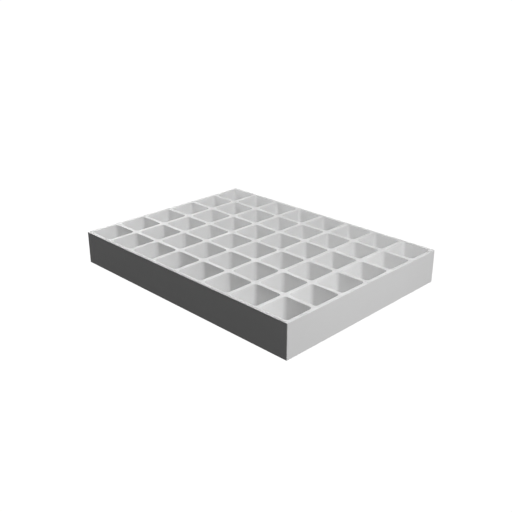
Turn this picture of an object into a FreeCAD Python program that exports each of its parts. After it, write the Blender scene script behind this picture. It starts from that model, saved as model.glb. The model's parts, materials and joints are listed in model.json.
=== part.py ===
# Plug tray for raising seedlings: a straight-sided carrier tray and eight identical six-cell packs that
# drop into it, flush with its rim, and lift out again by hand.
# Frame: +X along the long side, +Y along the short side, +Z up, origin on the bench under the tray's centre.
# All lengths are millimetres.

import FreeCAD, Part
import math
import os

# ---- cells -------------------------------------------------------------------------------------------
CELLS_LONG = 8  # cells along X
CELLS_SHORT = 6  # cells along Y
CELL_PITCH = 49.5  # centre to centre, the same both ways
WEB_WIDTH = 5.5  # flat strip between two neighbouring cell mouths
CELL_RADIUS = 4.4  # corner radius of a cell, the same from mouth to floor
CELL_DRAFT_DEG = 6.0  # lean of each cell wall
CELL_WALL = 1.0  # thickness of a cup's walls
CELL_FLOOR = 1.2  # thickness of a cup's floor
DRAIN_SLOT_LENGTH = 10.0  # end to end, each of the two crossed slots in a cup's floor
DRAIN_SLOT_WIDTH = 2.6

# ---- packs -------------------------------------------------------------------------------------------
PACK_CELLS_LONG = 2  # cells along X in one pack
PACK_CELLS_SHORT = 3  # cells along Y in one pack
PACK_SEAM = 0.3  # gap between two neighbouring packs
PACK_PLATE = 1.2  # thickness of a pack's top plate
PACK_RIM_DEPTH = 4.0  # depth of the bar round a pack's edge
PACK_CORNER_RADIUS = 0.8  # a pack's own four corners

# ---- carrier tray ------------------------------------------------------------------------------------
TRAY_HEIGHT = 48.2  # bench to rim
TRAY_WALL = 1.85  # thickness of the four side walls
TRAY_CORNER_RADIUS = 0.8  # outside corners, seen from above
SIDE_GAP = 0.3  # gap between a pack and the side wall
STAND_OFF = 3.0  # bench to the underside of the floor
TRAY_FLOOR = 2.0  # thickness of the floor
DRAIN_CLEARANCE = 0.5  # floor hole past the ends of the slots above it
UNDER_RIB = 1.6  # thickness of the ribs under the floor
LOCATING_RIB = 2.0  # thickness of the ribs that part the packs
LOCATING_RIB_HEIGHT = 1.6  # height of those ribs above the floor

# ---- sizes that follow -------------------------------------------------------------------------------
CELL_MOUTH = CELL_PITCH - WEB_WIDTH
PACKS_LONG = CELLS_LONG // PACK_CELLS_LONG
PACKS_SHORT = CELLS_SHORT // PACK_CELLS_SHORT
PACK_STEP_X = PACK_CELLS_LONG * CELL_PITCH
PACK_STEP_Y = PACK_CELLS_SHORT * CELL_PITCH
PACK_X = PACK_STEP_X - PACK_SEAM
PACK_Y = PACK_STEP_Y - PACK_SEAM
INSIDE_X = PACKS_LONG * PACK_STEP_X - PACK_SEAM + 2 * SIDE_GAP
INSIDE_Y = PACKS_SHORT * PACK_STEP_Y - PACK_SEAM + 2 * SIDE_GAP
TRAY_X = INSIDE_X + 2 * TRAY_WALL
TRAY_Y = INSIDE_Y + 2 * TRAY_WALL
FLOOR_HOLE_DIAMETER = DRAIN_SLOT_LENGTH + 2 * DRAIN_CLEARANCE
FLOOR_TOP = STAND_OFF + TRAY_FLOOR
CELL_BASE_Z = FLOOR_TOP + CELL_FLOOR
CELL_DEPTH = TRAY_HEIGHT - CELL_BASE_Z
CELL_BASE = CELL_MOUTH - 2 * CELL_DEPTH * math.tan(math.radians(CELL_DRAFT_DEG))


def rounded_outline(size_x, size_y, radius, z):
    """Closed wire of a rectangle with round corners, centred on the Z axis at height z."""
    inner_x = size_x / 2 - radius
    inner_y = size_y / 2 - radius
    centres = ((inner_x, inner_y), (-inner_x, inner_y), (-inner_x, -inner_y), (inner_x, -inner_y))
    corners = []
    for quarter, (x, y) in enumerate(centres):
        angles = [math.radians(90 * quarter + turn) for turn in (0, 45, 90)]
        corners.append(
            [FreeCAD.Vector(x + radius * math.cos(a), y + radius * math.sin(a), z) for a in angles]
        )
    edges = []
    for corner, following in zip(corners, corners[1:] + corners[:1]):
        edges.append(Part.Arc(*corner).toShape())
        edges.append(Part.LineSegment(corner[-1], following[0]).toShape())
    return Part.Wire(edges)


def rounded_block(size_x, size_y, radius, z_low, z_high):
    """Upright block with round corners, from z_low to z_high."""
    face = Part.Face(rounded_outline(size_x, size_y, radius, z_low))
    return face.extrude(FreeCAD.Vector(0, 0, z_high - z_low))


def tapered_well(radius, low_side, z_low, high_side, z_high):
    """Square solid that widens from z_low to z_high, with its four leaning edges rounded."""
    low = low_side / 2
    high = high_side / 2
    wedge = Part.makeWedge(-low, z_low, -low, -high, -high, low, z_high, low, high, high)
    well = wedge.rotated(FreeCAD.Vector(0, 0, 0), FreeCAD.Vector(1, 0, 0), 90)
    leaning = [edge for edge in well.Edges if abs(edge.Vertexes[0].Z - edge.Vertexes[-1].Z) > 1]
    return well.makeFillet(radius, leaning)


def upright_slab(size_x, size_y, centre_x, centre_y, z_low, z_high):
    """Plain box centred on a point of the plan, from z_low to z_high."""
    corner = FreeCAD.Vector(centre_x - size_x / 2, centre_y - size_y / 2, z_low)
    return Part.makeBox(size_x, size_y, z_high - z_low, corner)


def grid_positions(count, pitch):
    """Coordinates of count points a pitch apart, centred on zero."""
    return [(index - (count - 1) / 2) * pitch for index in range(count)]


def cup_blank():
    """Outside of one cup, from the floor of the carrier up to the top of the pack."""
    outer_base = CELL_BASE + 2 * CELL_WALL
    lean = math.tan(math.radians(CELL_DRAFT_DEG))
    foot_side = outer_base - 2 * CELL_FLOOR * lean
    mouth_side = CELL_MOUTH + 2 * CELL_WALL
    return tapered_well(CELL_RADIUS + CELL_WALL, foot_side, FLOOR_TOP, mouth_side, TRAY_HEIGHT)


def cell_hollow():
    """Space inside one cup, together with the two crossed slots that drain it."""
    hollow = tapered_well(CELL_RADIUS, CELL_BASE, CELL_BASE_Z, CELL_MOUTH, TRAY_HEIGHT)
    slots = [
        upright_slab(DRAIN_SLOT_LENGTH, DRAIN_SLOT_WIDTH, 0, 0, FLOOR_TOP, CELL_BASE_Z),
        upright_slab(DRAIN_SLOT_WIDTH, DRAIN_SLOT_LENGTH, 0, 0, FLOOR_TOP, CELL_BASE_Z),
    ]
    return hollow.fuse(slots)


def pack_rim():
    """Top plate of a pack with the deeper bar round its edge."""
    plate_low = TRAY_HEIGHT - PACK_PLATE
    rim_low = TRAY_HEIGHT - PACK_RIM_DEPTH
    bar_width = (WEB_WIDTH - PACK_SEAM) / 2
    rim = rounded_block(PACK_X, PACK_Y, PACK_CORNER_RADIUS, rim_low, TRAY_HEIGHT)
    inside = upright_slab(
        PACK_X - 2 * bar_width, PACK_Y - 2 * bar_width, 0, 0, rim_low, plate_low
    )
    return rim.cut(inside)


def cell_pack():
    """One six-cell pack, standing on the carrier's floor with its plan centred on the Z axis."""
    places = [
        FreeCAD.Vector(x, y, 0)
        for x in grid_positions(PACK_CELLS_LONG, CELL_PITCH)
        for y in grid_positions(PACK_CELLS_SHORT, CELL_PITCH)
    ]
    blank = cup_blank()
    hollow = cell_hollow()
    cups = [blank.translated(place) for place in places]
    hollows = [hollow.translated(place) for place in places]
    return pack_rim().fuse(cups).cut(hollows).removeSplitter()


def floor_ribs():
    """Ribs under the floor at every line between cells, and low ones on top of it between packs."""
    ribs = []
    for x in grid_positions(CELLS_LONG - 1, CELL_PITCH):
        ribs.append(upright_slab(UNDER_RIB, INSIDE_Y, x, 0, 0, STAND_OFF))
    for y in grid_positions(CELLS_SHORT - 1, CELL_PITCH):
        ribs.append(upright_slab(INSIDE_X, UNDER_RIB, 0, y, 0, STAND_OFF))
    rib_top = FLOOR_TOP + LOCATING_RIB_HEIGHT
    for x in grid_positions(PACKS_LONG - 1, PACK_STEP_X):
        ribs.append(upright_slab(LOCATING_RIB, INSIDE_Y, x, 0, FLOOR_TOP, rib_top))
    for y in grid_positions(PACKS_SHORT - 1, PACK_STEP_Y):
        ribs.append(upright_slab(INSIDE_X, LOCATING_RIB, 0, y, FLOOR_TOP, rib_top))
    return ribs


def carrier_tray():
    """Open box with four upright walls, a raised floor, ribs on both its faces and a hole under each cell."""
    box = rounded_block(TRAY_X, TRAY_Y, TRAY_CORNER_RADIUS, 0, TRAY_HEIGHT)
    room_above = upright_slab(INSIDE_X, INSIDE_Y, 0, 0, FLOOR_TOP, TRAY_HEIGHT)
    room_below = upright_slab(INSIDE_X, INSIDE_Y, 0, 0, 0, STAND_OFF)
    shell = box.cut([room_above, room_below])
    holes = [
        Part.makeCylinder(FLOOR_HOLE_DIAMETER / 2, TRAY_FLOOR, FreeCAD.Vector(x, y, STAND_OFF))
        for x in grid_positions(CELLS_LONG, CELL_PITCH)
        for y in grid_positions(CELLS_SHORT, CELL_PITCH)
    ]
    return shell.fuse(floor_ribs()).cut(holes).removeSplitter()


def export(shape, name):
    """Writes one node's solid, after checking that it is a single closed one."""
    solids = shape.Solids
    if len(solids) != 1 or not solids[0].isValid():
        raise ValueError(f"{name} should be one valid solid, not {len(solids)}")
    solids[0].exportStep(os.path.join("parts", f"{name}.step"))
    print(f"{name}: volume {solids[0].Volume / 1000:.1f} cm3")


def main():
    """Builds the carrier and a row of packs for each half of it."""
    os.makedirs("parts", exist_ok=True)
    export(carrier_tray(), "carrier_tray")
    pack = cell_pack()
    number = 0
    for y in grid_positions(PACKS_SHORT, PACK_STEP_Y):
        for x in grid_positions(PACKS_LONG, PACK_STEP_X):
            number += 1
            export(pack.translated(FreeCAD.Vector(x, y, 0)), f"cell_pack_{number}")
    print(f"overall {TRAY_X:.1f} x {TRAY_Y:.1f} x {TRAY_HEIGHT:.1f}, cell base {CELL_BASE:.2f}")


main()
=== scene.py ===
"""Plug tray for raising seedlings: a rigid carrier tray and the six-cell packs that drop into it.

Every length is in metres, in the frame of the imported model: +X along the long side, +Y along the short
side, +Z up, and the origin on the bench under the tray's centre.
"""

import json
import logging
import math
from collections.abc import Callable, Iterator, Sequence
from contextlib import contextmanager
from dataclasses import dataclass, field
from enum import Enum

import bmesh
import bpy
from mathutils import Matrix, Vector


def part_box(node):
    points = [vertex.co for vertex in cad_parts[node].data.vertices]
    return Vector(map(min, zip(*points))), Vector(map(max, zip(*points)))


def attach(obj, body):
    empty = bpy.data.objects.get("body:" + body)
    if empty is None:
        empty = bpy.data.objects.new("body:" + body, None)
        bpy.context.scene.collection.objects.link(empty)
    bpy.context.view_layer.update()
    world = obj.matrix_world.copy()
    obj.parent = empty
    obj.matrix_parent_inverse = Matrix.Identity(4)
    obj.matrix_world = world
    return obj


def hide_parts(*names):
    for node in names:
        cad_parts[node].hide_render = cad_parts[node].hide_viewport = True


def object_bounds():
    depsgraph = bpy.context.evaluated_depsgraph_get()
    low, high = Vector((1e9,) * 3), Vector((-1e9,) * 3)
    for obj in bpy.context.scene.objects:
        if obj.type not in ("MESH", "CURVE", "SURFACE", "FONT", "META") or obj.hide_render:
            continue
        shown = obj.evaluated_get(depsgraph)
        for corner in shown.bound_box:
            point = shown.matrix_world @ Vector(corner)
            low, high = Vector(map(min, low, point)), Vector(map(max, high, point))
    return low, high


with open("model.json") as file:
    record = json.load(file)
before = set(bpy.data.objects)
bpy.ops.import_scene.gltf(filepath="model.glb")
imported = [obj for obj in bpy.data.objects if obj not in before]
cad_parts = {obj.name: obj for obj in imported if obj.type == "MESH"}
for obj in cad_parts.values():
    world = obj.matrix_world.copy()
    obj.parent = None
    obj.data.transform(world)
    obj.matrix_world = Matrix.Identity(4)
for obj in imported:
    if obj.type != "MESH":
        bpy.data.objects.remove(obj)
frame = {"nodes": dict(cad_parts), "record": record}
CAD_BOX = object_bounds()

LOG = logging.getLogger("plug_tray")
TOUCH = 1e-5  # how near two coordinates are when they count as one
DOUBLED = 1e-6  # how near two points are when they are merged
FLAT = 0.9  # least part of a normal along an axis for a face that squarely faces that way
MID_TONE = 0.5  # the middle of a noise's range

Point = Sequence[float]
Corners = tuple[Vector, Vector]
Colour = tuple[float, float, float, float]


# ---- shaping solids ----------------------------------------------------------------------------------


class Combine(Enum):
    """How a second solid changes the first one."""

    ADD = "UNION"
    CUT = "DIFFERENCE"


class Facing(Enum):
    """Which way a level face looks."""

    UP = 1
    DOWN = -1


@dataclass(frozen=True)
class Span:
    """A stretch along one axis."""

    low: float
    high: float

    def holds(self, value: float) -> bool:
        """Whether value lies within the stretch."""
        return self.low - TOUCH < value < self.high + TOUCH

    @property
    def middle(self) -> float:
        """The centre of the stretch."""
        return (self.low + self.high) / 2

    @property
    def length(self) -> float:
        """The length of the stretch."""
        return self.high - self.low


@dataclass(frozen=True)
class Room:
    """A rectangle of the plan."""

    x: Span
    y: Span

    def holds(self, point: Vector) -> bool:
        """Whether a point lies over the rectangle."""
        return self.x.holds(point.x) and self.y.holds(point.y)


@dataclass(frozen=True)
class RibGrid:
    """Straight ribs of one width that cross a level face both ways."""

    along_x: list[float]  # the middle of each rib that runs along Y
    along_y: list[float]  # the middle of each rib that runs along X
    width: float
    height: float

    def sides(self) -> list[tuple[Vector, Vector]]:
        """Lists the two upright sides of every rib.

        Returns:
            A point on each side and the side's normal.
        """
        planes = []
        for normal, places in ((Vector((1, 0, 0)), self.along_x), (Vector((0, 1, 0)), self.along_y)):
            for place in places:
                planes += [(normal * (place + side), normal) for side in (-self.width / 2, self.width / 2)]
        return planes

    def covers(self, point: Vector) -> bool:
        """Whether a point of the plan lies under a rib."""
        over_x = any(abs(point.x - place) < self.width / 2 for place in self.along_x)
        return over_x or any(abs(point.y - place) < self.width / 2 for place in self.along_y)


@dataclass(frozen=True)
class MouldEdge:
    """How the edges and inside corners of a moulding are rounded and shaded."""

    width: float
    flats: int = 3
    sharper_than: float = 35.0  # degrees; what is less sharp isn't rounded
    crease: float = 40.0  # degrees; what is less sharp is shaded smoothly


def is_upright(edge: bmesh.types.BMEdge) -> bool:
    """Whether an edge runs from one height to another."""
    return abs(edge.verts[0].co.z - edge.verts[1].co.z) > TOUCH


class Workpiece:
    """A solid that starts as a primitive and is shaped with modelling operators."""

    def __init__(self, solid: bpy.types.Object, name: str) -> None:
        """Takes a newly added primitive and settles its place into its mesh.

        Args:
            solid: the primitive.
            name: the name that the object gets.
        """
        solid.name = name
        self.solid = solid
        self.select()
        bpy.ops.object.transform_apply(location=True, rotation=True, scale=True)

    @classmethod
    def block(cls, name: str, low: Point, high: Point) -> "Workpiece":
        """Adds a block between its lowest and its highest corner.

        Args:
            name: the object's name.
            low: the lowest corner.
            high: the highest corner.

        Returns:
            The block.
        """
        bpy.ops.object.select_all(action="DESELECT")
        bpy.ops.mesh.primitive_cube_add(size=1.0, location=(Vector(low) + Vector(high)) / 2)
        solid = bpy.context.active_object
        solid.scale = Vector(high) - Vector(low)
        return cls(solid, name)

    @classmethod
    def rod(cls, name: str, centre: Point, diameter: float, reach: Span, sides: int) -> "Workpiece":
        """Adds an upright cylinder.

        Args:
            name: the object's name.
            centre: the point of the plan under its axis.
            diameter: how wide it is.
            reach: the heights of its two ends.
            sides: the flats round it.

        Returns:
            The cylinder.
        """
        bpy.ops.object.select_all(action="DESELECT")
        bpy.ops.mesh.primitive_cylinder_add(
            vertices=sides,
            radius=diameter / 2,
            depth=reach.length,
            location=(centre[0], centre[1], reach.middle),
        )
        return cls(bpy.context.active_object, name)

    def select(self) -> None:
        """Makes this solid the only one that is selected, and the active one."""
        bpy.ops.object.select_all(action="DESELECT")
        bpy.context.view_layer.objects.active = self.solid
        self.solid.select_set(True)

    @contextmanager
    def edit(self) -> Iterator[None]:
        """Holds this solid alone in edit mode, with nothing in it selected."""
        self.select()
        bpy.ops.object.mode_set(mode="EDIT")
        bpy.ops.mesh.select_all(action="DESELECT")
        yield
        bpy.ops.object.mode_set(mode="OBJECT")

    def pick_faces(self, wanted: Callable[[bmesh.types.BMFace], bool]) -> None:
        """Selects, in edit mode, only the faces that pass a test.

        Args:
            wanted: the test for one face.
        """
        bpy.ops.mesh.select_mode(type="FACE")
        bpy.ops.mesh.select_all(action="DESELECT")
        for face in bmesh.from_edit_mesh(self.solid.data).faces:
            if wanted(face):
                face.select_set(True)
        bmesh.update_edit_mesh(self.solid.data)

    def pick_edges(self, wanted: Callable[[bmesh.types.BMEdge], bool]) -> None:
        """Selects, in edit mode, only the edges that pass a test.

        Args:
            wanted: the test for one edge.
        """
        bpy.ops.mesh.select_mode(type="EDGE")
        bpy.ops.mesh.select_all(action="DESELECT")
        for edge in bmesh.from_edit_mesh(self.solid.data).edges:
            if wanted(edge):
                edge.select_set(True)
        bmesh.update_edit_mesh(self.solid.data)

    def pick_level(self, level: float, facing: Facing, wanted: Callable[[Vector], bool]) -> None:
        """Selects, in edit mode, the level faces at one height whose middle passes a test.

        Args:
            level: the height of the faces.
            facing: which way they look.
            wanted: the test for a face's middle.
        """

        def is_wanted(face: bmesh.types.BMFace) -> bool:
            """Whether one face is such a face."""
            middle = face.calc_center_median()
            return face.normal.z * facing.value > FLAT and abs(middle.z - level) < TOUCH and wanted(middle)

        self.pick_faces(is_wanted)

    def pick_outside_corners(self, corners: Corners) -> None:
        """Selects, in edit mode, the four upright edges at the corners of a plan.

        Args:
            corners: the lowest and the highest corner of the solid.
        """
        low, high = corners

        def is_corner(edge: bmesh.types.BMEdge) -> bool:
            """Tests one edge.

            Args:
                edge: the edge.

            Returns:
                Whether it is such an edge.
            """
            x, y = edge.verts[0].co.xy
            at_corner = min(x - low.x, high.x - x) < TOUCH and min(y - low.y, high.y - y) < TOUCH
            return at_corner and is_upright(edge)

        self.pick_edges(is_corner)

    def sink_between_ribs(self, level: float, facing: Facing, room: Room, ribs: RibGrid) -> None:
        """Pushes a level face into the solid everywhere but under the ribs, in edit mode.

        Args:
            level: the height of the face, and of the ribs' free edges.
            facing: which way the face looks.
            room: the part of the plan that the face fills.
            ribs: the ribs that are left standing.
        """
        for place, normal in ribs.sides():
            self.pick_level(level, facing, room.holds)
            bpy.ops.mesh.bisect(plane_co=place, plane_no=normal)
        self.pick_level(level, facing, lambda middle: room.holds(middle) and not ribs.covers(middle))
        depth = -facing.value * ribs.height
        bpy.ops.mesh.extrude_region_move(TRANSFORM_OT_translate={"value": (0, 0, depth)})

    def combine(self, other: "Workpiece", how: Combine) -> None:
        """Adds another solid to this one, or cuts it away, and uses it up.

        Args:
            other: the second solid.
            how: whether it is added or cut away.
        """
        self.select()
        bpy.ops.object.modifier_add(type="BOOLEAN")
        step = self.solid.modifiers[-1]
        step.operation = how.value
        step.solver = "EXACT"
        step.object = other.solid
        bpy.ops.object.modifier_apply(modifier=step.name)
        bpy.data.objects.remove(other.solid)

    def take_in(self, others: Sequence["Workpiece"]) -> None:
        """Joins other solids to this object as shells of their own.

        Args:
            others: the solids that are taken in.
        """
        self.select()
        for other in others:
            other.solid.select_set(True)
        bpy.ops.object.join()

    def copy_to(self, name: str, offset: Point) -> "Workpiece":
        """Copies this solid, with a mesh of its own, to another place.

        Args:
            name: the copy's name.
            offset: how far the copy is moved.

        Returns:
            The copy.
        """
        self.select()
        bpy.ops.object.duplicate(linked=False)
        bpy.ops.transform.translate(value=offset)
        return Workpiece(bpy.context.active_object, name)

    def ease_edges(self, edge: MouldEdge) -> None:
        """Rounds every sharp edge and inside corner a little, as a mould does.

        Args:
            edge: how they are rounded.
        """
        self.select()
        bpy.ops.object.modifier_add(type="BEVEL")
        step = self.solid.modifiers[-1]
        step.width = edge.width
        step.segments = edge.flats
        step.limit_method = "ANGLE"
        step.angle_limit = math.radians(edge.sharper_than)
        bpy.ops.object.modifier_apply(modifier=step.name)

    def tidy_mesh(self) -> None:
        """Merges doubled points and turns every face outwards."""
        with self.edit():
            bpy.ops.mesh.select_all(action="SELECT")
            bpy.ops.mesh.remove_doubles(threshold=DOUBLED)
            bpy.ops.mesh.normals_make_consistent(inside=False)

    def smooth(self, edge: MouldEdge) -> None:
        """Shades the rounds smoothly and keeps the flats flat.

        Args:
            edge: how the edges are shaded.
        """
        self.select()
        bpy.ops.object.shade_smooth_by_angle(angle=math.radians(edge.crease))
        bpy.ops.object.modifier_add(type="WEIGHTED_NORMAL")
        step = self.solid.modifiers[-1]
        step.keep_sharp = True
        bpy.ops.object.modifier_apply(modifier=step.name)

    def finish(self, name: str, edge: MouldEdge) -> None:
        """Cleans the mesh up, eases its edges and shades it.

        Args:
            name: the finished piece's name.
            edge: how its edges are rounded and shaded.
        """
        self.tidy_mesh()
        self.ease_edges(edge)
        self.smooth(edge)
        self.solid.name = name


def line_of_places(count: int, pitch: float, centre: float = 0.0) -> list[float]:
    """Coordinates of evenly spaced places.

    Args:
        count: how many there are.
        pitch: the distance from one to the next.
        centre: the middle of the row.

    Returns:
        The coordinates, lowest first.
    """
    return [centre + (index - (count - 1) / 2) * pitch for index in range(count)]


# ---- the two mouldings -------------------------------------------------------------------------------


@dataclass(frozen=True)
class CellGrid:
    """The spacing that the carrier and the packs share."""

    pitch: float = 0.0495
    pack_columns: int = 2
    pack_rows: int = 3

    def cells_of(self, corners: Corners) -> list[Point]:
        """Centres, in plan, of the cells of one pack.

        Args:
            corners: the pack's lowest and highest corner.

        Returns:
            One point of the plan for each cell.
        """
        middle = (corners[0] + corners[1]) / 2
        columns = line_of_places(self.pack_columns, self.pitch, middle.x)
        rows = line_of_places(self.pack_rows, self.pitch, middle.y)
        return [(x, y) for x in columns for y in rows]


@dataclass
class CellPack:
    """One drop-in pack: six tapered cups hung from a flat plate with a deeper bar round its edge."""

    corners: Corners
    grid: CellGrid = field(default_factory=CellGrid)
    mouth: float = 0.044
    corner_radius: float = 0.0044
    draft_degrees: float = 6.0
    wall: float = 0.001
    floor: float = 0.0012
    floor_round: float = 0.0025
    floor_flats: int = 5
    plate: float = 0.0012
    bar_depth: float = 0.004
    plan_radius: float = 0.0008
    plan_flats: int = 4
    slot_length: float = 0.010
    slot_width: float = 0.0026
    foot_round: float = 0.0009
    foot_flats: int = 3
    edge: MouldEdge = MouldEdge(0.00032)
    corner_flats: int = 8
    overshoot: float = 0.001

    @property
    def top(self) -> float:
        """Height of the mouths."""
        return self.corners[1].z

    @property
    def foot(self) -> float:
        """Height of the undersides of the cups."""
        return self.corners[0].z

    @property
    def lean(self) -> float:
        """How far a wall leans out for each metre of height."""
        return math.tan(math.radians(self.draft_degrees))

    def tapered_block(
        self, name: str, centre: Point, reach: Span, side_at_top: float, radius: float
    ) -> Workpiece:
        """Makes a square block that narrows towards its foot, with its four leaning edges rounded.

        Args:
            name: the object's name.
            centre: the point of the plan that it stands over.
            reach: the heights of its two ends.
            side_at_top: its width at the top.
            radius: the radius of its four corners in plan.

        Returns:
            The block.
        """
        half = side_at_top / 2
        low = (centre[0] - half, centre[1] - half, reach.low)
        high = (centre[0] + half, centre[1] + half, reach.high)
        block = Workpiece.block(name, low, high)
        narrowed = 1 - 2 * reach.length * self.lean / side_at_top
        with block.edit():
            block.pick_faces(lambda face: face.normal.z < -FLAT)
            bpy.ops.transform.resize(value=(narrowed, narrowed, 1), center_override=(*centre, reach.low))
            block.pick_edges(is_upright)
            bpy.ops.mesh.bevel(offset=radius, segments=self.corner_flats, affect="EDGES")
        return block

    def round_foot(self, block: Workpiece, level: float, radius: float, segments: int) -> None:
        """Rounds the edge all round the lower end of a tapered block.

        Args:
            block: the tapered block.
            level: the height of its lower end.
            radius: the radius of the round.
            segments: the flats across it.
        """
        with block.edit():
            block.pick_edges(lambda edge: all(abs(corner.co.z - level) < TOUCH for corner in edge.verts))
            bpy.ops.mesh.bevel(offset=radius, segments=segments, affect="EDGES")

    def rim(self) -> Workpiece:
        """Makes the plate with the bar round its edge.

        Returns:
            The rim, with no mouths cut in it yet.
        """
        low, high = self.corners
        under_bar = self.top - self.bar_depth
        rim = Workpiece.block("pack_rim", (low.x, low.y, under_bar), high)
        bar_width = (high.x - low.x - (self.grid.pack_columns - 1) * self.grid.pitch - self.mouth) / 2
        with rim.edit():
            rim.pick_faces(lambda face: face.normal.z < -FLAT)
            bpy.ops.mesh.inset(thickness=bar_width, depth=0)
            bpy.ops.mesh.extrude_region_move(
                TRANSFORM_OT_translate={"value": (0, 0, self.bar_depth - self.plate)}
            )
            rim.pick_outside_corners(self.corners)
            bpy.ops.mesh.bevel(offset=self.plan_radius, segments=self.plan_flats, affect="EDGES")
        return rim

    def slot_cutters(self, places: list[Point]) -> tuple[list[Workpiece], list[Workpiece]]:
        """Makes the cutters for the two crossed slots that drain each cup.

        Args:
            places: the centres of the cups, in plan.

        Returns:
            The cutters that run along X, and those that run along Y.
        """
        low, high = self.foot - self.overshoot, self.foot + self.floor + self.overshoot

        def bars(half_x: float, half_y: float) -> list[Workpiece]:
            """A bar of one half-width each way, over each centre."""
            return [
                Workpiece.block("slot", (x - half_x, y - half_y, low), (x + half_x, y + half_y, high))
                for x, y in places
            ]

        long, short = self.slot_length / 2, self.slot_width / 2
        return bars(long, short), bars(short, long)

    def build(self, name: str) -> Workpiece:
        """Models the pack as one closed moulding.

        Args:
            name: the object's name.

        Returns:
            The moulding, with its place in its mesh.
        """
        places = self.grid.cells_of(self.corners)
        pack = self.rim()
        buried_top = self.top - self.plate / 2
        outside = self.mouth + 2 * self.wall - self.plate * self.lean
        above = self.top + self.overshoot
        inside = self.mouth + 2 * self.overshoot * self.lean
        inside_foot = self.foot + self.floor
        cups, hollows = [], []
        for place in places:
            cup = self.tapered_block(
                "cup", place, Span(self.foot, buried_top), outside, self.corner_radius + self.wall
            )
            self.round_foot(cup, self.foot, self.foot_round, self.foot_flats)
            cups.append(cup)
            hollow = self.tapered_block(
                "hollow", place, Span(inside_foot, above), inside, self.corner_radius
            )
            self.round_foot(hollow, inside_foot, self.floor_round, self.floor_flats)
            hollows.append(hollow)
        along_x, along_y = self.slot_cutters(places)
        steps = ((cups, Combine.ADD), (hollows, Combine.CUT), (along_x, Combine.CUT), (along_y, Combine.CUT))
        for solids, how in steps:
            solids[0].take_in(solids[1:])
            pack.combine(solids[0], how)
        pack.finish(name, self.edge)
        return pack


@dataclass
class CarrierTray:
    """The open box that holds the packs, with a raised, ribbed floor and a hole under each cell."""

    corners: Corners
    packs: list[Corners]
    grid: CellGrid = field(default_factory=CellGrid)
    columns: int = 8
    rows: int = 6
    wall: float = 0.00185
    corner_radius: float = 0.0008
    corner_flats: int = 4
    stand_off: float = 0.003
    floor: float = 0.002
    under_rib: float = 0.0016
    pack_rib: float = 0.002
    pack_rib_height: float = 0.0016
    hole: float = 0.011
    hole_flats: int = 48
    overshoot: float = 0.0006
    edge: MouldEdge = MouldEdge(0.0004)

    @property
    def floor_top(self) -> float:
        """Height of the floor that the packs stand on."""
        return self.corners[0].z + self.stand_off + self.floor

    def rib_grids(self) -> tuple[RibGrid, RibGrid]:
        """Lays out the ribs on both faces of the floor.

        Returns:
            The ribs on top of it, between packs, and those under it, between cells.
        """
        columns, rows = self.grid.pack_columns, self.grid.pack_rows
        between_packs = RibGrid(
            line_of_places(self.columns // columns - 1, columns * self.grid.pitch),
            line_of_places(self.rows // rows - 1, rows * self.grid.pitch),
            self.pack_rib,
            self.pack_rib_height,
        )
        between_cells = RibGrid(
            line_of_places(self.columns - 1, self.grid.pitch),
            line_of_places(self.rows - 1, self.grid.pitch),
            self.under_rib,
            self.stand_off,
        )
        return between_packs, between_cells

    def shell(self) -> Workpiece:
        """Makes the walls, the floor and the ribs on both faces of the floor.

        Returns:
            The shell, with no holes in its floor yet.
        """
        low, high = self.corners
        room = Room(Span(low.x + self.wall, high.x - self.wall), Span(low.y + self.wall, high.y - self.wall))
        between_packs, between_cells = self.rib_grids()
        rib_top = self.floor_top + between_packs.height
        tray = Workpiece.block("carrier_shell", low, high)
        with tray.edit():
            tray.pick_faces(lambda face: face.normal.z > FLAT)
            bpy.ops.mesh.inset(thickness=self.wall, depth=0)
            bpy.ops.mesh.extrude_region_move(TRANSFORM_OT_translate={"value": (0, 0, rib_top - high.z)})
            tray.sink_between_ribs(rib_top, Facing.UP, room, between_packs)
            tray.pick_faces(lambda face: face.normal.z < -FLAT)
            bpy.ops.mesh.inset(thickness=self.wall, depth=0)
            tray.sink_between_ribs(low.z, Facing.DOWN, room, between_cells)
            tray.pick_outside_corners(self.corners)
            bpy.ops.mesh.bevel(offset=self.corner_radius, segments=self.corner_flats, affect="EDGES")
        return tray

    def build(self, name: str) -> Workpiece:
        """Models the carrier as one closed moulding.

        Args:
            name: the object's name.

        Returns:
            The moulding, with its place in its mesh.
        """
        tray = self.shell()
        through = Span(self.corners[0].z + self.stand_off / 2, self.floor_top + self.overshoot)
        holes = [
            Workpiece.rod("hole", place, self.hole, through, self.hole_flats)
            for pack in self.packs
            for place in self.grid.cells_of(pack)
        ]
        holes[0].take_in(holes[1:])
        tray.combine(holes[0], Combine.CUT)
        tray.finish(name, self.edge)
        return tray


# ---- finishes ----------------------------------------------------------------------------------------


class Graph:
    """The node tree of one material, or of the surroundings."""

    def __init__(self, material: bpy.types.Material | bpy.types.World) -> None:
        """Takes a material, or a world, and empties its tree.

        Args:
            material: the material or the world.
        """
        material.use_nodes = True
        self.material = material
        self.tree = material.node_tree
        self.tree.nodes.clear()

    def add(self, kind: str, settings: dict | None = None, inputs: dict | None = None) -> bpy.types.Node:
        """Adds a node, sets it up, and then fills its sockets.

        Args:
            kind: the node's type.
            settings: values of the node's own properties.
            inputs: values or links of its sockets, by name or number.

        Returns:
            The node.
        """
        node = self.tree.nodes.new(kind)
        for key, value in (settings or {}).items():
            setattr(node, key, value)
        for key, value in (inputs or {}).items():
            socket = node.inputs[key]
            if isinstance(value, Signal):
                self.tree.links.new(value.socket, socket)
            else:
                socket.default_value = value
        return node

    def signal(
        self, kind: str, output: str, settings: dict | None = None, inputs: dict | None = None
    ) -> "Signal":
        """Adds a node and returns one of its outputs, ready for arithmetic."""
        return Signal(self, self.add(kind, settings, inputs).outputs[output])


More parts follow.
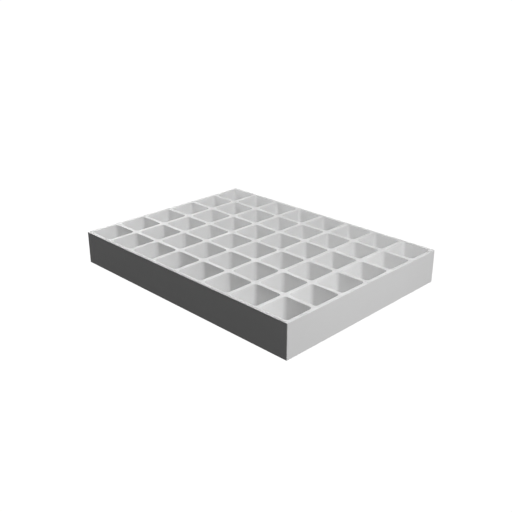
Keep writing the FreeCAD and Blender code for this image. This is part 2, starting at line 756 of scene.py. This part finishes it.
class Signal:
    """A node's output that can be used in arithmetic."""

    def __init__(self, graph: Graph, socket: bpy.types.NodeSocket) -> None:
        """Wraps an output socket of a graph."""
        self.graph = graph
        self.socket = socket

    def _math(self, operation: str, first: "Signal | float", second: "Signal | float") -> "Signal":
        """Adds a Math node for an operation on two values."""
        node = self.graph.add("ShaderNodeMath", {"operation": operation}, {0: first, 1: second})
        return Signal(self.graph, node.outputs[0])

    def __add__(self, other: "Signal | float") -> "Signal":
        """This plus other."""
        return self._math("ADD", self, other)

    def __radd__(self, other: float) -> "Signal":
        """A number plus this."""
        return self._math("ADD", other, self)

    def __sub__(self, other: "Signal | float") -> "Signal":
        """This less other."""
        return self._math("SUBTRACT", self, other)

    def __rsub__(self, other: float) -> "Signal":
        """A number less this."""
        return self._math("SUBTRACT", other, self)

    def __mul__(self, other: "Signal | float") -> "Signal":
        """This times other."""
        return self._math("MULTIPLY", self, other)

    def __rmul__(self, other: float) -> "Signal":
        """A number times this."""
        return self._math("MULTIPLY", other, self)

    def __abs__(self) -> "Signal":
        """This without its sign."""
        return self._math("ABSOLUTE", self, 0.0)

    def between(self, low: float, high: float) -> "Signal":
        """Rises smoothly from 0 at low to 1 at high.

        Args:
            low: the value that gives 0.
            high: the value that gives 1.

        Returns:
            The eased value.
        """
        return self.graph.signal(
            "ShaderNodeMapRange",
            "Result",
            {"interpolation_type": "SMOOTHSTEP"},
            {"Value": self, "From Min": low, "From Max": high},
        )


@dataclass(frozen=True)
class Noise:
    """One octave-summed noise that follows the moulding."""

    size: float
    detail: float

    def on(self, graph: Graph, place: Signal) -> Signal:
        """Adds the noise to a material.

        Args:
            graph: the material's tree.
            place: the coordinates that it follows.

        Returns:
            The pattern, about 0 to 1.
        """
        inputs = {"Vector": place, "Scale": 1 / self.size, "Detail": self.detail}
        return graph.signal("ShaderNodeTexNoise", "Fac", None, inputs)


@dataclass(frozen=True)
class MouldedPlastic:
    """Matt moulded polypropylene: an even pale grey with a spark-eroded grain and light handling marks."""

    name: str
    slot: str
    rim_height: float
    grey: float = 0.8
    roughness: float = 0.64
    refraction: float = 1.49
    skin_gloss: float = 0.25
    mottle: Noise = Noise(0.028, 3.0)
    mottle_shade: float = 0.024
    mottle_roughness: float = 0.12
    scuffs: Noise = Noise(0.006, 5.0)
    scuff_spread: Span = Span(0.56, 0.72)
    scuff_shade: float = 0.03
    scuff_roughness: float = 0.1
    scuff_reach: Span = Span(0.0002, 0.0012)  # below the rim
    grain: Noise = Noise(0.00045, 2.0)
    grain_depth: float = 0.00002
    grain_roughness: float = 0.06
    swell: Noise = Noise(0.03, 1.0)
    swell_depth: float = 0.00006

    def material(self) -> bpy.types.Material:
        """Writes the material.

        Returns:
            The finished material.
        """
        plastic = bpy.data.materials.new(self.name)
        graph = Graph(plastic)
        place = graph.signal("ShaderNodeTexCoord", "Object")
        height = graph.signal("ShaderNodeSeparateXYZ", "Z", None, {0: place})
        mottle = self.mottle.on(graph, place) - MID_TONE
        grain = self.grain.on(graph, place)
        marks = self.scuffs.on(graph, place).between(self.scuff_spread.low, self.scuff_spread.high)
        reach = self.scuff_reach
        worn = marks * height.between(self.rim_height - reach.high, self.rim_height - reach.low)
        shade = mottle * self.mottle_shade + worn * self.scuff_shade + 1.0
        colour = graph.signal(
            "ShaderNodeVectorMath", "Vector", {"operation": "SCALE"}, {0: (self.grey,) * 3, "Scale": shade}
        )
        roughness = mottle * self.mottle_roughness + (grain - MID_TONE) * self.grain_roughness
        relief = self.swell.on(graph, place) * self.swell_depth + grain * self.grain_depth
        bump = graph.signal(
            "ShaderNodeBump", "Normal", None, {"Strength": 1.0, "Distance": 1.0, "Height": relief}
        )
        shader = graph.signal(
            "ShaderNodeBsdfPrincipled",
            "BSDF",
            None,
            {
                "Base Color": colour,
                "Roughness": roughness + worn * self.scuff_roughness + self.roughness,
                "Normal": bump,
                "IOR": self.refraction,
                "Specular IOR Level": self.skin_gloss,
            },
        )
        graph.add("ShaderNodeOutputMaterial", None, {"Surface": shader})
        return plastic


# ---- studio ------------------------------------------------------------------------------------------


def outward(azimuth: float, elevation: float, distance: float) -> Vector:
    """Steps away from the tray.

    Args:
        azimuth: the side that is stepped to, in degrees: 0 is the near long side, and 90 the right end.
        elevation: the rise above the floor, in degrees.
        distance: how far the step is.

    Returns:
        The step.
    """
    turn, rise = math.radians(azimuth), math.radians(elevation)
    level = Vector((math.sin(turn), -math.cos(turn), 0)) * math.cos(rise)
    return (level + Vector((0, 0, math.sin(rise)))) * distance


class Aim(Enum):
    """Where a soft light looks."""

    TRAY = "at the middle of the tray"
    DOWN = "straight down"


@dataclass(frozen=True)
class SoftLight:
    """A square soft light."""

    name: str
    place: Point
    side: float
    power: float
    aim: Aim = Aim.TRAY

    def add(self, centre: Vector) -> None:
        """Puts the light up.

        Args:
            centre: the middle of the tray.
        """
        data = bpy.data.lights.new(self.name, type="AREA")
        data.shape = "SQUARE"
        data.size = self.side
        data.energy = self.power
        lamp = bpy.data.objects.new(self.name, data)
        bpy.context.scene.collection.objects.link(lamp)
        lamp.location = self.place
        if self.aim is Aim.TRAY:
            lamp.rotation_euler = (centre - Vector(self.place)).to_track_quat("-Z", "Y").to_euler()
        lamp.visible_camera = False


@dataclass(frozen=True)
class Studio:
    """A white floor, soft lights and the camera."""

    azimuth: float = 45.0
    elevation: float = 22.99
    distance: float = 1.0253
    lens: float = 50.0
    sensor: float = 36.0
    shift: tuple[float, float] = (0.00045, 0.00047)  # of the sensor's width, to the right and up
    floor_size: float = 60.0
    floor_drop: float = 0.0002
    floor_glow: float = 1.05
    # painted shadow: the grey tone and soft edge of the dark patch laid on the floor under the tray
    painted_shadow_tone: Colour = (0.5, 0.5, 0.5, 1.0)
    painted_shadow_edge: Span = Span(0.0005, 0.003)  # soft edge of the painted shadow, in from the tray's outline
    white: Colour = (1.0, 1.0, 1.0, 1.0)
    ambient: float = 0.02
    lights: tuple[SoftLight, ...] = (
        SoftLight("low_back_softbox", outward(135.0, 10.0, 2.5), 0.6, 11.4),
        SoftLight("right_softbox", outward(75.0, 40.0, 2.5), 0.6, 9.65),
        SoftLight("front_softbox", outward(-22.5, 45.0, 2.2), 0.9, 2.75),
        SoftLight("left_overhead", (-0.7, -0.12, 0.45), 0.22, 4.35, Aim.DOWN),
        SoftLight("middle_overhead", (0.0, -0.12, 0.75), 0.22, 1.8, Aim.DOWN),
        SoftLight("middle_back_overhead", (0.0, 0.1, 0.45), 0.22, 0.2, Aim.DOWN),
        SoftLight("right_overhead", (0.8, -0.12, 0.45), 0.22, 2.8, Aim.DOWN),
        SoftLight("right_back_overhead", (0.8, 0.1, 0.45), 0.22, 2.3, Aim.DOWN),
    )

    def set_up(self, corners: Corners) -> None:
        """Builds the studio round the object.

        Args:
            corners: the object's lowest and highest corner.
        """
        centre = (corners[0] + corners[1]) / 2
        self.camera(centre)
        self.floor(corners)
        self.surroundings()
        for light in self.lights:
            light.add(centre)
        bpy.context.scene.view_settings.view_transform = "Standard"

    def camera(self, centre: Vector) -> None:
        """Adds the camera and makes it the scene's.

        Args:
            centre: the point that it looks at.
        """
        back = outward(self.azimuth, self.elevation, self.distance)
        data = bpy.data.cameras.new("studio_camera")
        data.lens = self.lens
        data.sensor_width = self.sensor
        data.shift_x, data.shift_y = self.shift
        camera = bpy.data.objects.new("studio_camera", data)
        bpy.context.scene.collection.objects.link(camera)
        camera.location = centre + back
        camera.rotation_euler = (-back).to_track_quat("-Z", "Y").to_euler()
        bpy.context.scene.camera = camera

    def floor(self, corners: Corners) -> None:
        """Lays the evenly lit white floor, with a painted shadow (a dark grey patch) only where the tray
        covers it.

        Args:
            corners: the object's lowest and highest corner.
        """
        bpy.ops.object.select_all(action="DESELECT")
        level = corners[0].z - self.floor_drop
        bpy.ops.mesh.primitive_plane_add(size=self.floor_size, location=(0, 0, level))
        floor = bpy.context.active_object
        floor.name = "studio_floor"
        graph = Graph(bpy.data.materials.new("white_floor_painted_shadow"))
        place = graph.signal("ShaderNodeTexCoord", "Object")
        shadow = graph.signal("ShaderNodeBsdfDiffuse", "BSDF", None, {"Color": self.painted_shadow_tone})
        glow = {"Color": self.white, "Strength": self.floor_glow}
        white = graph.signal("ShaderNodeEmission", "Emission", None, glow)
        # painted shadow: this mask is 1 under the tray's outline, where the glowing white floor turns to a
        # dark grey patch
        painted_shadow_mask = 1.0
        for axis, reach in (("X", corners[1].x), ("Y", corners[1].y)):
            off_centre = abs(graph.signal("ShaderNodeSeparateXYZ", axis, None, {0: place}))
            past_edge = off_centre.between(reach - self.painted_shadow_edge.high, reach - self.painted_shadow_edge.low)
            painted_shadow_mask = painted_shadow_mask * (1 - past_edge)
        surface = graph.add("ShaderNodeMixShader", None, {0: painted_shadow_mask, 1: white, 2: shadow})
        graph.add("ShaderNodeOutputMaterial", None, {"Surface": Signal(graph, surface.outputs[0])})
        floor.data.materials.append(graph.material)
        floor.visible_diffuse = False
        floor.visible_glossy = False

    def surroundings(self) -> None:
        """Sets the even light from all round, and the white that the camera sees past the floor."""
        world = bpy.data.worlds.new("studio_surroundings")
        bpy.context.scene.world = world
        graph = Graph(world)
        seen = graph.signal("ShaderNodeLightPath", "Is Camera Ray")
        glow = {"Color": self.white, "Strength": self.ambient}
        soft = graph.signal("ShaderNodeBackground", "Background", None, glow)
        white = graph.signal("ShaderNodeBackground", "Background", None, {"Color": self.white})
        both = graph.add("ShaderNodeMixShader", None, {0: seen, 1: soft, 2: white})
        graph.add("ShaderNodeOutputWorld", None, {"Surface": Signal(graph, both.outputs[0])})


# ---- putting it together -----------------------------------------------------------------------------


def body_with(node: str) -> str:
    """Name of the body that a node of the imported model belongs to."""
    bodies = frame["record"]["behaviour"]["bodies"]
    return next(body for body, members in bodies.items() if node in members)


def place_piece(piece: Workpiece, node: str, material: bpy.types.Material) -> None:
    """Dresses a finished piece, puts it on its body, and lets it stand for its node.

    Args:
        piece: the finished piece.
        node: the node that it replaces.
        material: its finish.
    """
    piece.solid.data.materials.clear()
    piece.solid.data.materials.append(material)
    body = body_with(node)
    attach(piece.solid, body)
    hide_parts(node)
    LOG.info("%s rides on %s, %d faces", piece.solid.name, body, len(piece.solid.data.polygons))


def main() -> None:
    """Builds the studio, the carrier and the packs."""
    logging.basicConfig(level=logging.INFO, format="%(name)s: %(message)s")
    Studio().set_up(CAD_BOX)
    pack_nodes = sorted(name for name in frame["nodes"] if name.startswith("cell_pack_"))
    pack_boxes = [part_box(name) for name in pack_nodes]
    rim_height = CAD_BOX[1].z

    carrier_plastic = MouldedPlastic("carrier_polypropylene", "carrier_plastic", rim_height)
    carrier = CarrierTray(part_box("carrier_tray"), pack_boxes).build("carrier_moulding")
    place_piece(carrier, "carrier_tray", carrier_plastic.material())

    pack_plastic = MouldedPlastic("pack_polypropylene", "pack_plastic", rim_height)
    pack_material = pack_plastic.material()
    first = CellPack(pack_boxes[0]).build("pack_moulding_1")
    mouldings = [first]
    for number, corners in enumerate(pack_boxes[1:], 2):
        mouldings.append(first.copy_to(f"pack_moulding_{number}", corners[0] - pack_boxes[0][0]))
    for node, moulding in zip(pack_nodes, mouldings):
        place_piece(moulding, node, pack_material)


if __name__ == "__main__":
    main()
